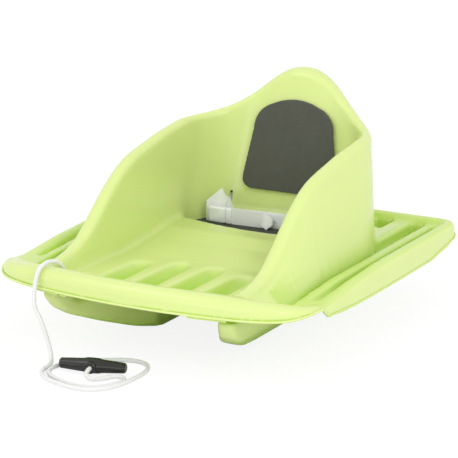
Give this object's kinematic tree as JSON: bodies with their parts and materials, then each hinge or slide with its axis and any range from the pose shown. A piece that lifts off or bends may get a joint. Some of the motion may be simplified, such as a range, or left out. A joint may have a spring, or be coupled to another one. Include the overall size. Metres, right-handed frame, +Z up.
{
  "type": "baby pull sled",
  "caption": "Moulded pull sled with a high-backed bucket seat, seat and back pads, lap belt with side-release buckle, twin runners and a tow rope with T-handle.",
  "frame": {"origin": "centre of the sled's bounding box in plan, on the snow", "axes": "+X to the rider's left, +Y to the rear, +Z up"},
  "size_m": [0.5, 0.6618, 0.3247],
  "materials": {
    "green": "glossy moulded polyethylene",
    "dark_foam": "matte closed-cell foam",
    "black_foam": "matte closed-cell foam",
    "webbing": "woven polypropylene",
    "white_plastic": "glossy moulded acetal",
    "black_plastic": "glossy moulded plastic"
  },
  "bodies": {
    "sled": {"upper_shell": "green", "lower_hull": "green", "seat_pad": "black_foam", "back_pad": "dark_foam", "belt_web_left": "webbing", "belt_web_right": "webbing", "belt_web_tail": "webbing", "strap_stop_left": "black_plastic", "strap_stop_right": "black_plastic", "buckle_socket": "white_plastic", "buckle_clip": "white_plastic", "rope_washer": "black_plastic", "rope_knot": "webbing", "tow_rope": "webbing", "tow_handle": "black_plastic", "handle_knot": "webbing"},
    "arm_upper": {"buckle_arm_upper": "white_plastic"},
    "arm_lower": {"buckle_arm_lower": "white_plastic"}
  },
  "joints": [
    {"name": "arm_upper_flex", "type": "hinge", "parent": "sled", "child": "arm_upper", "pos_m": [-0.078, 0.142, 0.1148], "axis": [0, -1, 0], "range_deg": [0, 5], "stiffness_Nm_per_rad": 0.4},
    {"name": "arm_lower_flex", "type": "hinge", "parent": "sled", "child": "arm_lower", "pos_m": [-0.078, 0.142, 0.0986], "axis": [0, 1, 0], "range_deg": [0, 5], "stiffness_Nm_per_rad": 0.4}
  ]
}
